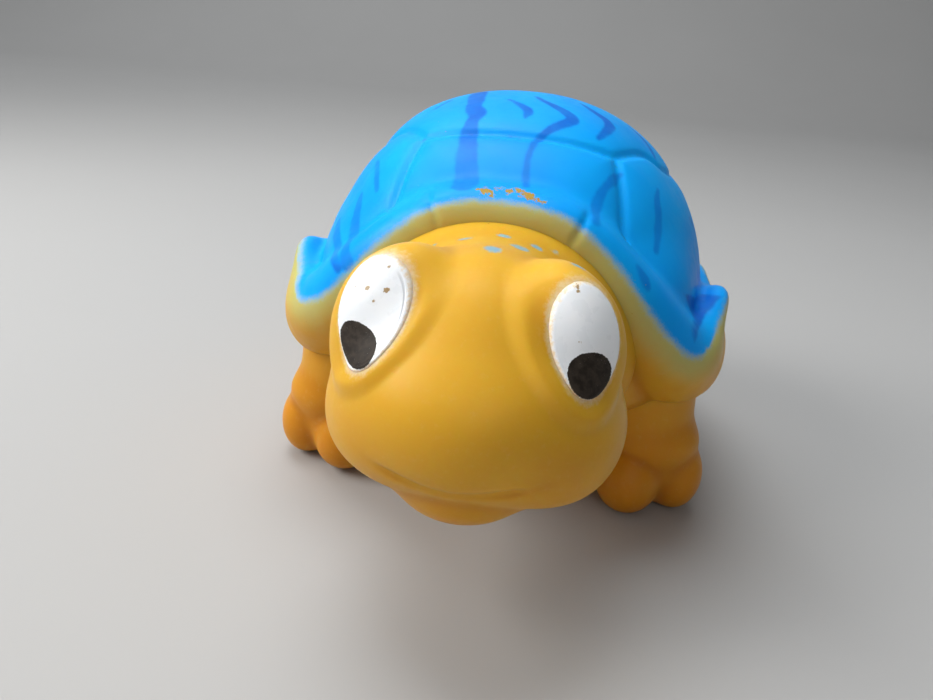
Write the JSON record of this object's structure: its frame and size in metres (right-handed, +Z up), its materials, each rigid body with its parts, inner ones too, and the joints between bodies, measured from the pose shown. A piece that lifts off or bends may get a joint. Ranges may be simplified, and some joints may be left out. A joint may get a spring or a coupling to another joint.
{
  "type": "squeaky turtle toy",
  "caption": "Hollow soft vinyl toy turtle that rests on its soles: the domed shell squeezes down, the head nods on a flexing neck, and a belly squeaker lets the air out.",
  "frame": {"origin": "centre of the bounding box's footprint, on the plane of the soles", "axes": "+Z up, head towards -Y, the turtle's own left side towards +X"},
  "size_m": [0.082, 0.12, 0.0706],
  "materials": {
    "vinyl_amber": "satin translucent soft vinyl",
    "vinyl_blue": "satin soft vinyl under sprayed blue paint",
    "eye_white": "satin sprayed paint",
    "pupil_brown": "satin sprayed paint",
    "squeaker_plastic": "moulded polyethylene",
    "reed_film": "clear polyester film"
  },
  "bodies": {
    "body": {"shell_flank": "vinyl_blue", "shell_margin": "vinyl_amber", "shell_lip": "vinyl_blue", "belly": "vinyl_amber", "front_left_leg": "vinyl_amber", "front_right_leg": "vinyl_amber", "rear_left_leg": "vinyl_amber", "rear_right_leg": "vinyl_amber", "tail": "vinyl_amber", "neck": "vinyl_amber", "squeaker_cup": "squeaker_plastic", "squeaker_cap": "squeaker_plastic", "squeaker_reed_base": "squeaker_plastic", "squeaker_reed_clip": "squeaker_plastic"},
    "crown": {"shell_crown": "vinyl_blue"},
    "head": {"head": "vinyl_amber", "left_eye_white": "eye_white", "right_eye_white": "eye_white", "left_pupil": "pupil_brown", "right_pupil": "pupil_brown"},
    "reed": {"squeaker_reed": "reed_film"}
  },
  "joints": [
    {"name": "shell_squeeze", "type": "slide", "parent": "body", "child": "crown", "axis": [0, 0, -1], "range_m": [0, 0.01], "stiffness_N_per_m": 600, "deforming": ["shell_flank"]},
    {"name": "head_nod", "type": "hinge", "parent": "body", "child": "head", "pos_m": [0, -0.024, 0.038], "axis": [1, 0, 0], "range_deg": [-5, 8], "stiffness_Nm_per_rad": 0.5, "deforming": ["neck"]},
    {"name": "reed_flutter", "type": "hinge", "parent": "body", "child": "reed", "pos_m": [0, 0.0176, 0.01375], "axis": [-1, 0, 0], "range_deg": [0, 6], "stiffness_Nm_per_rad": 0.00002}
  ]
}
